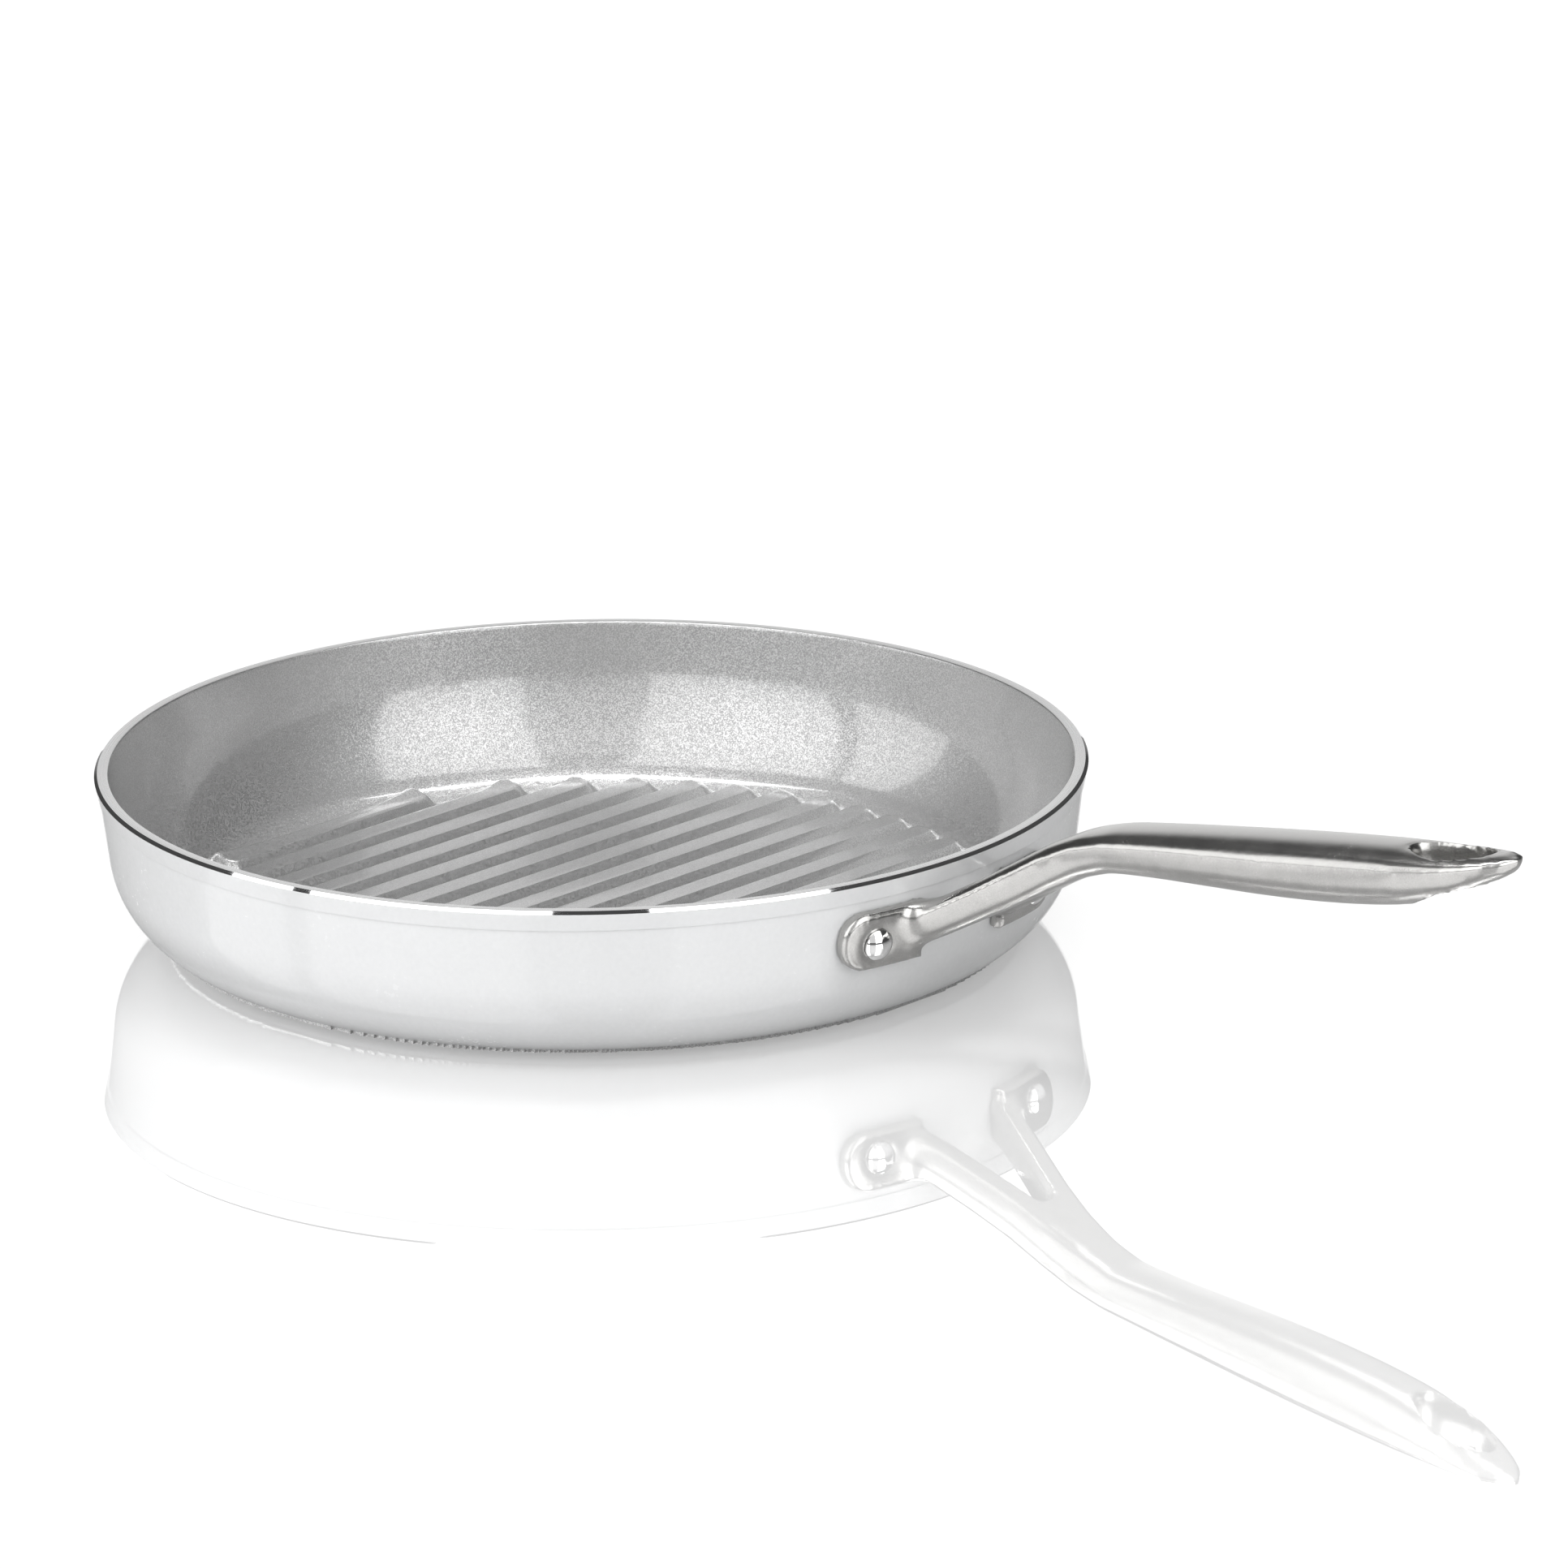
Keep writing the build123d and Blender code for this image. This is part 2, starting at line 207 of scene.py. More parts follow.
class Nodes:
    """Short calls for one node tree."""

    def __init__(self, tree: bpy.types.NodeTree) -> None:
        """Keeps the tree.

        Args:
            tree: Node tree of a material, a world or a group.
        """
        self.tree = tree

    def add(self, kind: str, **settings: object) -> bpy.types.Node:
        """Adds one node.

        Args:
            kind: Name of the node's type, without its ShaderNode prefix.
            settings: Properties set on the node.

        Returns:
            The new node.
        """
        node = self.tree.nodes.new(f"ShaderNode{kind}")
        for key, value in settings.items():
            setattr(node, key, value)
        return node

    def feed(self, target: bpy.types.NodeSocket, source: object) -> None:
        """Links a socket to another, or sets its value.

        Args:
            target: Input socket.
            source: Output socket, or a plain value.
        """
        if isinstance(source, bpy.types.NodeSocket):
            self.tree.links.new(source, target)
        else:
            target.default_value = source

    def math(self, operation: str, *values: object) -> bpy.types.NodeSocket:
        """Adds a Math node.

        Args:
            operation: Name of the operation.
            values: Its inputs, sockets or numbers.

        Returns:
            The node's result.
        """
        node = self.add("Math", operation=operation)
        for socket, value in zip(node.inputs, values):
            self.feed(socket, value)
        return node.outputs[0]

    def noise(self, vector: bpy.types.NodeSocket, scale: object, detail: float) -> bpy.types.NodeSocket:
        """Adds a Noise texture.

        Args:
            vector: Coordinates.
            scale: Scale, a socket or a number.
            detail: Number of octaves.

        Returns:
            The noise's value.
        """
        node = self.add("TexNoise")
        self.feed(node.inputs["Vector"], vector)
        self.feed(node.inputs["Scale"], scale)
        node.inputs["Detail"].default_value = detail
        return node.outputs[0]

    def vector(self, operation: str, *values: object) -> bpy.types.NodeSocket:
        """Adds a Vector Math node.

        Args:
            operation: Name of the operation.
            values: Its inputs, sockets or vectors.

        Returns:
            The node's vector.
        """
        node = self.add("VectorMath", operation=operation)
        for socket, value in zip(node.inputs, values):
            self.feed(socket, value)
        return node.outputs["Vector"]

    def ranged(
        self, value: bpy.types.NodeSocket, start: object, end: object, low: object, high: object
    ) -> bpy.types.NodeSocket:
        """Adds a clamped Map Range node.

        Args:
            value: The value to map.
            start: Value that maps to low.
            end: Value that maps to high.
            low: Result at start.
            high: Result at end.

        Returns:
            The mapped value.
        """
        node = self.add("MapRange")
        for socket, source in zip(node.inputs, (value, start, end, low, high)):
            self.feed(socket, source)
        return node.outputs[0]

    def blend(self, factor: bpy.types.NodeSocket, first: object, second: object) -> bpy.types.NodeSocket:
        """Mixes two colours.

        Args:
            factor: Share of the second colour.
            first: Colour at zero.
            second: Colour at one.

        Returns:
            The mixed colour.
        """
        node = self.add("Mix", data_type="RGBA")
        self.feed(node.inputs[0], factor)
        for number, colour in zip(COLOUR_SOCKETS, (first, second)):
            self.feed(node.inputs[number], colour)
        return node.outputs[2]


class Effect:
    """A shader node group with named inputs and outputs, built once and shared."""

    def __init__(self, name: str, inputs: dict[str, float], outputs: dict[str, str]) -> None:
        """Makes the empty group.

        Args:
            name: Name of the group.
            inputs: Names of its number inputs, with their defaults.
            outputs: Names of its outputs, with their kinds, Float or Vector.
        """
        self.tree = bpy.data.node_groups.new(name, "ShaderNodeTree")
        for label, value in inputs.items():
            socket = self.tree.interface.new_socket(name=label, in_out="INPUT", socket_type="NodeSocketFloat")
            socket.default_value = value
        for label, kind in outputs.items():
            self.tree.interface.new_socket(name=label, in_out="OUTPUT", socket_type=f"NodeSocket{kind}")
        self.nodes = Nodes(self.tree)
        self.given = self.tree.nodes.new("NodeGroupInput").outputs
        self.result = self.tree.nodes.new("NodeGroupOutput").inputs
        self.place_on = self.nodes.add("TexCoord").outputs["Object"]

    def use(self, nodes: Nodes, **values: float) -> bpy.types.bpy_prop_collection:
        """Puts the group in a material.

        Args:
            nodes: Nodes of that material.
            values: Its inputs by name.

        Returns:
            The outputs of the group node.
        """
        node = nodes.add("Group", node_tree=self.tree)
        for label, value in values.items():
            node.inputs[label].default_value = value
        return node.outputs


def grain_effect() -> Effect:
    """Builds grain without direction, fine and broad, as cast or sprayed surfaces have.

    Returns:
        The group: its Value runs from Low to High, and its Height is for bump.
    """
    inputs = {"Scale": 1000, "Low": 0, "High": 1}
    effect = Effect("fine_grain", inputs, {"Value": "Float", "Height": "Float"})
    nodes, given = effect.nodes, effect.given
    fine_share, broad_share, broad_scale = 0.6, 0.4, 0.08
    fine = nodes.noise(effect.place_on, given["Scale"], 3)
    broad = nodes.noise(effect.place_on, nodes.math("MULTIPLY", given["Scale"], broad_scale), 2)
    shares = (nodes.math("MULTIPLY", fine, fine_share), nodes.math("MULTIPLY", broad, broad_share))
    both = nodes.math("ADD", *shares)
    nodes.feed(effect.result["Value"], nodes.ranged(both, *NOISE_RANGE, given["Low"], given["High"]))
    nodes.feed(effect.result["Height"], fine)
    return effect


def rings_effect() -> Effect:
    """Builds the concentric marks that turning on a lathe leaves.

    Returns:
        The group: its Value runs from Low to High, and its Height is for bump.
    """
    inputs = {"Scale": 1000, "Low": 0, "High": 1}
    effect = Effect("turned_rings", inputs, {"Value": "Float", "Height": "Float"})
    nodes, given = effect.nodes, effect.given
    length = nodes.add("VectorMath", operation="LENGTH")
    nodes.feed(length.inputs[0], nodes.vector("MULTIPLY", effect.place_on, (1, 1, 0)))
    marks = nodes.add("TexNoise", noise_dimensions="1D")
    nodes.feed(marks.inputs["W"], length.outputs["Value"])
    nodes.feed(marks.inputs["Scale"], given["Scale"])
    marks.inputs["Detail"].default_value = 2
    tone = nodes.ranged(marks.outputs[0], *NOISE_RANGE, given["Low"], given["High"])
    nodes.feed(effect.result["Value"], tone)
    nodes.feed(effect.result["Height"], marks.outputs[0])
    return effect


def flake_effect() -> Effect:
    """Builds metal flakes in a coating, each tilted its own way.

    Returns:
        The group: Mask is one on the flakes, and Normal tilts each of them.
    """
    inputs = {"Scale": 3000, "Share": 0.3, "Tilt": 0.1}
    effect = Effect("metal_flakes", inputs, {"Mask": "Float", "Normal": "Vector"})
    nodes, given = effect.nodes, effect.given
    cells = nodes.add("TexVoronoi")
    nodes.feed(cells.inputs["Vector"], effect.place_on)
    nodes.feed(cells.inputs["Scale"], given["Scale"])
    parts = nodes.add("SeparateColor")
    nodes.feed(parts.inputs[0], cells.outputs["Color"])
    mask = nodes.math("LESS_THAN", parts.outputs[0], given["Share"])
    lean = nodes.add("TexWhiteNoise", noise_dimensions="3D")
    nodes.feed(lean.inputs["Vector"], cells.outputs["Position"])
    offset = nodes.add("VectorMath", operation="SCALE")
    nodes.feed(offset.inputs[0], nodes.vector("SUBTRACT", lean.outputs["Color"], (0.5, 0.5, 0.5)))
    nodes.feed(offset.inputs["Scale"], nodes.math("MULTIPLY", mask, given["Tilt"]))
    normal = nodes.add("NewGeometry").outputs["Normal"]
    nodes.feed(effect.result["Mask"], mask)
    leaned = nodes.vector("ADD", normal, offset.outputs["Vector"])
    nodes.feed(effect.result["Normal"], nodes.vector("NORMALIZE", leaned))
    return effect


@dataclass(frozen=True)
class Finish:
    """Constants that every finish sets on its shader.

    Attributes:
        name: Name of the material.
        metallic: One for bare metal.
        coat: Weight of a clear layer on top.
        coat_roughness: Roughness of that layer.
        coat_index: Index of refraction of that layer.
    """

    name: str
    metallic: float = 0.0
    coat: float = 0.0
    coat_roughness: float = 0.05
    coat_index: float = 1.5

    def shader(self) -> tuple[bpy.types.Material, Nodes, bpy.types.Node]:
        """Makes the material with its constants set.

        Returns:
            The material, its nodes and its Principled shader.
        """
        material = bpy.data.materials.new(self.name)
        material.use_nodes = True
        nodes = Nodes(material.node_tree)
        shader = material.node_tree.nodes["Principled BSDF"]
        shader.inputs["Metallic"].default_value = self.metallic
        shader.inputs["Coat Weight"].default_value = self.coat
        shader.inputs["Coat Roughness"].default_value = self.coat_roughness
        shader.inputs["Coat IOR"].default_value = self.coat_index
        return material, nodes, shader


@dataclass(frozen=True)
class GrainedFinish(Finish):
    """A colour with fine grain in its tone, roughness and relief.

    Attributes:
        dark: Colour in the low grain.
        light: Colour in the high grain.
        smooth: Roughness in the low grain.
        rough: Roughness in the high grain.
        scale: Grains per metre.
        relief: Depth of the grain in metres.
        strength: Strength of the bump.
    """

    dark: tuple[float, ...] = (0.5, 0.5, 0.5, 1)
    light: tuple[float, ...] = (0.6, 0.6, 0.6, 1)
    smooth: float = 0.2
    rough: float = 0.3
    scale: float = 1000.0
    relief: float = 0.00002
    strength: float = 0.3

    def build(self, effect: Effect) -> bpy.types.Material:
        """Builds the material.

        Args:
            effect: Group that gives the grain, fine or turned.

        Returns:
            The material.
        """
        material, nodes, shader = self.shader()
        grain = effect.use(nodes, Scale=self.scale)
        nodes.feed(shader.inputs["Base Color"], nodes.blend(grain["Value"], self.dark, self.light))
        nodes.feed(shader.inputs["Roughness"], nodes.ranged(grain["Value"], 0, 1, self.smooth, self.rough))
        bump = nodes.add("Bump")
        bump.inputs["Distance"].default_value = self.relief
        bump.inputs["Strength"].default_value = self.strength
        nodes.feed(bump.inputs["Height"], grain["Height"])
        nodes.feed(shader.inputs["Normal"], bump.outputs[0])
        return material


@dataclass(frozen=True)
class CeramicFinish(Finish):
    """Grey ceramic coating with bright metal flakes under a clear surface.

    Attributes:
        ground: Colour between the flakes.
        cloud: Colour of the ground where it is a little darker.
        flake: Colour of the flakes.
        share: Share of the surface that the flakes cover.
        scale: Flakes per metre.
        tilt: How far the flakes lean.
        roughness: Roughness between the flakes.
        flake_roughness: Roughness of the flakes.
    """

    ground: tuple[float, ...] = (0.32, 0.32, 0.32, 1)
    cloud: tuple[float, ...] = (0.29, 0.29, 0.29, 1)
    flake: tuple[float, ...] = (0.56, 0.56, 0.56, 1)
    share: float = 0.45
    scale: float = 4200.0
    tilt: float = 0.14
    roughness: float = 0.4
    flake_roughness: float = 0.42

    def build(self, flakes: Effect, grain: Effect) -> bpy.types.Material:
        """Builds the material.

        Args:
            flakes: Group that gives the flakes.
            grain: Group that gives the unevenness of the sprayed ground.

        Returns:
            The material.
        """
        material, nodes, shader = self.shader()
        flake = flakes.use(nodes, Scale=self.scale, Share=self.share, Tilt=self.tilt)
        uneven = grain.use(nodes, Scale=self.scale / 4)
        ground = nodes.blend(uneven["Value"], self.cloud, self.ground)
        rough = nodes.ranged(flake["Mask"], 0, 1, self.roughness, self.flake_roughness)
        nodes.feed(shader.inputs["Base Color"], nodes.blend(flake["Mask"], ground, self.flake))
        nodes.feed(shader.inputs["Roughness"], rough)
        nodes.feed(shader.inputs["Metallic"], flake["Mask"])
        nodes.feed(shader.inputs["Normal"], flake["Normal"])
        return material


class Materials:
    """Every finish of the pan, built once."""

    def __init__(self) -> None:
        """Builds the shared effects and the materials."""
        grain = grain_effect()
        rings = rings_effect()
        flakes = flake_effect()
        self.enamel = GrainedFinish(
            "white_enamel",
            coat=0.6,
            coat_roughness=0.06,
            dark=(0.70, 0.706, 0.712, 1),
            light=(0.74, 0.746, 0.752, 1),
            smooth=0.22,
            rough=0.28,
            scale=700,
            relief=0.00001,
            strength=0.15,
        ).build(grain)
        self.ceramic = CeramicFinish(
            "grey_ceramic",
            coat=1.0,
            coat_roughness=0.09,
            coat_index=1.7,
        ).build(flakes, grain)
        self.land = GrainedFinish(
            "machined_rim",
            metallic=1.0,
            dark=(0.62, 0.62, 0.62, 1),
            light=(0.78, 0.78, 0.78, 1),
            smooth=0.22,
            rough=0.34,
            scale=2600,
            relief=0.00002,
            strength=0.3,
        ).build(rings)
        self.chamfer = GrainedFinish(
            "polished_rim_edge",
            metallic=1.0,
            dark=(0.88, 0.88, 0.89, 1),
            light=(0.93, 0.93, 0.94, 1),
            smooth=0.03,
            rough=0.05,
            scale=3000,
            relief=0.000005,
            strength=0.05,
        ).build(rings)
        self.cast_steel = GrainedFinish(
            "satin_cast_steel",
            metallic=1.0,
            dark=(0.41, 0.406, 0.397, 1),
            light=(0.52, 0.515, 0.503, 1),
            smooth=0.20,
            rough=0.28,
            scale=2200,
            relief=0.00003,
            strength=0.25,
        ).build(grain)
        self.rivet_steel = GrainedFinish(
            "polished_rivet_steel",
            metallic=1.0,
            dark=(0.86, 0.86, 0.86, 1),
            light=(0.92, 0.92, 0.92, 1),
            smooth=0.06,
            rough=0.12,
            scale=2500,
            relief=0.00001,
            strength=0.1,
        ).build(grain)
        self.base_steel = GrainedFinish(
            "turned_base_steel",
            metallic=1.0,
            dark=(0.50, 0.50, 0.50, 1),
            light=(0.66, 0.66, 0.66, 1),
            smooth=0.24,
            rough=0.36,
            scale=1500,
            relief=0.00003,
            strength=0.4,
        ).build(rings)


@dataclass
class PanShell:
    """Turned wall, rim and base of the pan, in millimetres.

    Attributes:
        rim_radius: Outer radius of the rim.
        height: Height of the rim above the base.
        rim_chamfer: Width of the polished chamfer.
        rim_land: Width of the machined ring on top.
        rim_inner_round: Rounding of the ring's inner edge.
        collar_height: Height of the turned band below the chamfer.
        collar_lean: How far the band draws in at its foot.
        collar_step: Step from the band to the wall.
        wall_taper: Lean of the wall in degrees.
        outer_corner: Radius from the wall to the base.
        floor: Thickness of the floor.
        flat_floor: Radius of the flat floor.
        foot_turn: Angle in degrees that the tight foot of the inner curve turns through.
        curve_top: Height where the inner curve meets the straight wall.
        ribs_to: Radius where the ribbed floor hands over to the shell.
        recess_radius: Radius of the disc's recess in the base.
        recess_depth: Depth of that recess.
        steps: Divisions round the axis.
        corner_steps: Edges of the outer corner and of the upper inner curve.
        outer_steps: Edges up the outside of the wall.
        inner_steps: Edges down the straight inside of the wall.
        foot_steps: Edges of the inner curve's foot.
        ring_steps: Edges of the rim's inner rounding.
    """

    rim_radius: float = 140.0
    height: float = 48.5
    rim_chamfer: float = 0.85
    rim_land: float = 3.1
    rim_inner_round: float = 0.5
    collar_height: float = 4.9
    collar_lean: float = 1.0
    collar_step: float = 0.35
    wall_taper: float = 7.0
    outer_corner: float = 28.0
    floor: float = 3.4
    flat_floor: float = 109.3
    foot_turn: float = 50.0
    curve_top: float = 36.0
    ribs_to: float = 118.0
    recess_radius: float = 92.05
    recess_depth: float = 0.6
    steps: int = 288
    corner_steps: int = 20
    outer_steps: int = 14
    inner_steps: int = 16
    foot_steps: int = 12
    ring_steps: int = 4

    def __post_init__(self) -> None:
        """Works out the sizes that follow from the others."""
        self.lean = math.tan(math.radians(self.wall_taper))
        self.chamfer_foot = self.height - self.rim_chamfer
        self.crease_height = self.chamfer_foot - self.collar_height
        self.crease_radius = self.rim_radius - self.collar_lean
        self.wall_top = self.crease_radius - self.collar_step
        self.base_edge = self.wall_top - self.crease_height * self.lean
        self.land_inner = self.rim_radius - self.rim_chamfer - self.rim_land
        self.turn = QUARTER_TURN - self.wall_taper
        self.flat_base = self.base_edge - self.outer_corner * math.tan(math.radians(self.turn / 2))
        self.curve_radius = self.land_inner - (self.height - self.curve_top) * self.lean
        self.foot_round, self.wall_round = self.inner_rounds()

    def inner_rounds(self) -> tuple[float, float]:
        """Works out the two radii of the inner curve from where it starts and ends.

        Returns:
            The radius of the foot, and of the wall above it.
        """
        foot, wall = math.radians(self.foot_turn), math.radians(self.turn)
        span, rise = self.curve_radius - self.flat_floor, self.curve_top - self.floor
        sunk, drawn = 1 - math.cos(foot), math.sin(wall) - math.sin(foot)
        under = math.sin(foot) * (math.cos(foot) - math.cos(wall)) - sunk * drawn
        wall_round = (rise * math.sin(foot) - span * sunk) / under
        return (span - wall_round * drawn) / math.sin(foot), wall_round

    def wall_at(self, height: float) -> float:
        """Outer radius of the wall at a height."""
        return self.base_edge + height * self.lean

    def floor_at(self, radius: float) -> float:
        """Height of the cooking floor, ribs left out, at a radius."""
        out = max(radius - self.flat_floor, 0)
        return self.floor + self.foot_round - math.sqrt(self.foot_round**2 - out**2)

    def outline(self) -> Outline:
        """Draws the shell's section, from the base's centre round to the floor's.

        Returns:
            The section's outline.
        """
        wide = math.radians(self.turn)
        ring = self.rim_inner_round
        under = self.recess_depth * 2
        path = Outline(0, self.recess_depth)
        path.line(self.recess_radius, self.recess_depth).line(self.recess_radius, 0).line(self.flat_base, 0)
        path.arc((self.flat_base, self.outer_corner), -self.turn, self.corner_steps)
        path.stepped(self.wall_top, self.crease_height, self.outer_steps)
        path.line(self.crease_radius, self.crease_height)
        path.line(self.rim_radius, self.chamfer_foot).line(self.rim_radius - self.rim_chamfer, self.height)
        path.line(self.land_inner + ring, self.height)
        path.arc((self.land_inner + ring, self.height - ring), -self.turn, self.ring_steps)
        path.stepped(self.curve_radius, self.curve_top, self.inner_steps)
        centre = (
            self.curve_radius - self.wall_round * math.sin(wide),
            self.curve_top + self.wall_round * math.cos(wide),
        )
        path.arc(centre, self.turn - self.foot_turn, self.corner_steps)
        hand_over = math.degrees(math.asin((self.ribs_to - 1 - self.flat_floor) / self.foot_round))
        path.arc((self.flat_floor, self.floor + self.foot_round), self.foot_turn - hand_over, self.foot_steps)
        path.line(self.ribs_to - 2, under).line(0, under)
        return path

    def zone(self, face: bmesh.types.BMFace) -> Zone:
        """Chooses a face's finish by its place.

        Args:
            face: Face of the turned mesh.

        Returns:
            The zone it lies in.
        """
        middle = face.calc_center_median()
        radius = math.hypot(middle.x, middle.y)
        if middle.z > self.height - self.rim_inner_round / 4:
            return Zone.LAND
        if middle.z > self.chamfer_foot and radius > self.rim_radius - self.rim_chamfer:
            return Zone.CHAMFER
        within = radius < self.land_inner + self.rim_inner_round
        inward = face.normal.x * middle.x + face.normal.y * middle.y < 0
        if middle.z > self.floor and within and (inward or face.normal.z > 0.5):
            return Zone.CERAMIC
        return Zone.ENAMEL

    def build(self, materials: Materials) -> bpy.types.Object:
        """Turns the shell and dresses its zones.

        Args:
            materials: Finishes of the pan.

        Returns:
            The piece.
        """
        mesh = self.outline().turned(self.steps)
        for face in mesh.faces:
            face.material_index = self.zone(face).value
        finishes = [materials.enamel, materials.chamfer, materials.land, materials.ceramic]
        return finish_piece(mesh, "pan_shell", "pan_body", finishes)


@dataclass
class RibbedFloor:
    """Cooking floor with its soft-edged ribs, in millimetres.

    Attributes:
        pitch: Distance from rib to rib.
        pairs: Ribs on each side of the middle one.
        height: Height of a rib.
        half_width: Half the width of a rib at half its height.
        flank: Width over which a rib's side rises.
        reach: Radius of the circle that the ribs end on.
        end_round: Radius of a rib's corners in plan.
        fade: How fast the floor dips under the shell past the hand-over.
        lift: How far the floor stands over the shell before it.
        segments: Divisions of the floor each way.
        margin: How far the floor runs on under the shell.
    """

    pitch: float = 13.375
    pairs: int = 8
    height: float = 3.5
    half_width: float = 4.87
    flank: float = 3.6
    reach: float = 115.0
    end_round: float = 3.6
    fade: float = 0.05
    lift: float = 0.02
    segments: int = 290
    margin: float = 3.0

    def rib_at(self, place: Vector) -> float:
        """Height of the ribs over the floor at a point.

        Args:
            place: The point, in plan.

        Returns:
            The height, zero in the grooves.
        """
        number = max(-self.pairs, min(self.pairs, round(place.x / self.pitch)))
        middle = number * self.pitch
        length = math.sqrt(self.reach**2 - middle**2)
        across = abs(place.x - middle) - (self.half_width - self.end_round)
        along = abs(place.y) - (length - self.end_round)
        outside = math.hypot(max(across, 0), max(along, 0)) + min(max(across, along), 0) - self.end_round
        share = min(max(0.5 - outside / self.flank, 0), 1)
        return self.height * share**2 * (3 - 2 * share)

    def build(self, shell: PanShell, materials: Materials) -> bpy.types.Object:
        """Raises the ribs on a grid and closes it below.

        Args:
            shell: The shell that carries the floor.
            materials: Finishes of the pan.

        Returns:
            The piece.
        """
        mesh = bmesh.new()
        edge = shell.ribs_to + self.margin
        bmesh.ops.create_grid(mesh, x_segments=self.segments, y_segments=self.segments, size=edge)
        outer = [vertex for vertex in mesh.verts if vertex.co.xy.length > edge]
        bmesh.ops.delete(mesh, geom=outer, context="VERTS")
        for vertex in mesh.verts:
            radius = vertex.co.xy.length
            dip = self.fade * max(radius - shell.ribs_to, 0) ** 2
            vertex.co.z = shell.floor_at(radius) + self.lift - dip + self.rib_at(vertex.co)
        rim = [part for part in mesh.edges if part.is_boundary]
        skirt = bmesh.ops.extrude_edge_only(mesh, edges=rim)["geom"]
        for part in skirt:
            if isinstance(part, bmesh.types.BMVert):
                part.co.z = shell.recess_depth * 3
        foot = [part for part in skirt if isinstance(part, bmesh.types.BMEdge)]
        bmesh.ops.contextual_create(mesh, geom=foot)
        bmesh.ops.recalc_face_normals(mesh, faces=mesh.faces)
        return finish_piece(mesh, "ribbed_floor", "pan_body", [materials.ceramic])


@dataclass
class Rivet:
    """One rivet of the handle, in millimetres, built on its own axis and then seated.

    Attributes:
        name: CAD node that it stands for.
        side: One for the left rivet seen from the handle, minus one for the right.
        angle: Angle round the pan from the handle's middle, in degrees.
        drop: Distance of the axis below the rim.
        shank: Radius of the shank.
        pad: Thickness of the handle's pad.
        dome_radius: Radius of the outer head.
        dome_height: Rise of the outer head.
        seat: Straight side of the outer head.
        inner_radius: Radius of the inner head.
        inner_height: Thickness of the inner head.
        soft: Rounding of the inner head's edge.
        soft_steps: Edges of that rounding.
        dome_steps: Edges of the dome from its rim to its top.
        steps: Divisions round the axis.
    """

    name: str
    side: int
    angle: float = 13.3
    drop: float = 17.4
    shank: float = 3.0
    pad: float = 4.5
    dome_radius: float = 4.4
    dome_height: float = 2.2
    seat: float = 0.3
    inner_radius: float = 5.6
    inner_height: float = 1.6
    soft: float = 0.9
    soft_steps: int = 6
    dome_steps: int = 12
    steps: int = 48

    def build(self, shell: PanShell, materials: Materials) -> bpy.types.Object:
        """Turns the rivet and sets it square to the wall.

        Args:
            shell: The shell that it goes through.
            materials: Finishes of the pan.

        Returns:
            The piece.
        """
        wall = (shell.wall_at(shell.height) - shell.land_inner) * math.cos(math.radians(shell.wall_taper))
        back = -wall - self.inner_height
        top = self.pad + self.seat
        curve = (self.dome_radius**2 + self.dome_height**2) / (2 * self.dome_height)
        sweep = math.degrees(math.asin(self.dome_radius / curve))
        path = Outline(0, back).line(self.inner_radius - self.soft, back)
        path.arc((self.inner_radius - self.soft, back + self.soft), -QUARTER_TURN, self.soft_steps)
        path.line(self.inner_radius, -wall + self.seat).line(self.shank, -wall + self.seat)
        path.line(self.shank, self.pad - self.seat).line(self.dome_radius, self.pad - self.seat)
        path.line(self.dome_radius, top)
        path.arc((0, top + self.dome_height - curve), -sweep, self.dome_steps)
        mesh = path.turned(self.steps)
        height = shell.height - self.drop
        turn = Matrix.Rotation(math.radians(self.side * self.angle), 4, "Z")
        seat = Matrix.Translation((shell.wall_at(height), 0, height))
        lean = Matrix.Rotation(math.radians(QUARTER_TURN + shell.wall_taper), 4, "Y")
        bmesh.ops.transform(mesh, matrix=turn @ seat @ lean, verts=mesh.verts)
        return finish_piece(mesh, f"{self.name}_turned", self.name, [materials.rivet_steel])


